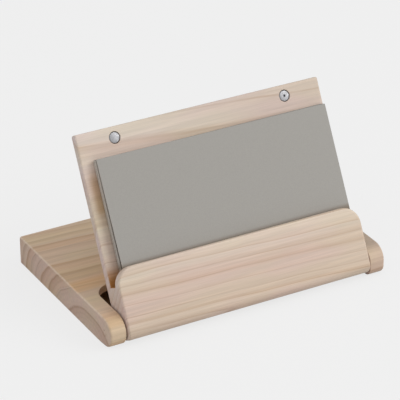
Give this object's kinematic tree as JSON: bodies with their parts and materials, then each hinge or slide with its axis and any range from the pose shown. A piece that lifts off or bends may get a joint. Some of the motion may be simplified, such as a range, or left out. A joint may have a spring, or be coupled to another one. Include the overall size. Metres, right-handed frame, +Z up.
{
  "type": "wooden business card case",
  "caption": "Flat wooden card case whose J-shaped rest turns on side pins to stand as a desk card holder; magnets hold it shut.",
  "frame": {"origin": "bottom centre of the case as it stands open, on the surface it stands on", "axes": "+X along the hinge, +Y back from the rail to the cover's far edge, +Z up"},
  "size_m": [0.11, 0.073, 0.0638],
  "materials": {
    "cover_wood": "sanded pale softwood, thin matte oil",
    "rest_wood": "sanded pale softwood, thin matte oil",
    "plug_wood": "sanded end grain",
    "steel": "ground rod",
    "nickel": "bright nickel plate",
    "card": "uncoated grey card, matte"
  },
  "bodies": {
    "cover": {"cover": "cover_wood", "hinge_pin_left": "steel", "hinge_pin_right": "steel", "pin_plug_left": "plug_wood", "pin_plug_right": "plug_wood", "cover_magnet_left": "nickel", "cover_magnet_right": "nickel"},
    "card_rest": {"card_rest": "rest_wood", "rest_magnet_left": "nickel", "rest_magnet_right": "nickel", "business_card_1": "card", "business_card_2": "card", "business_card_3": "card", "business_card_4": "card", "business_card_5": "card", "business_card_6": "card"}
  },
  "joints": [
    {"name": "rest_hinge", "type": "hinge", "parent": "cover", "child": "card_rest", "pos_m": [0, -0.03089, 0.00535], "axis": [1, 0, 0], "range_deg": [-24.5, 297.2]}
  ]
}
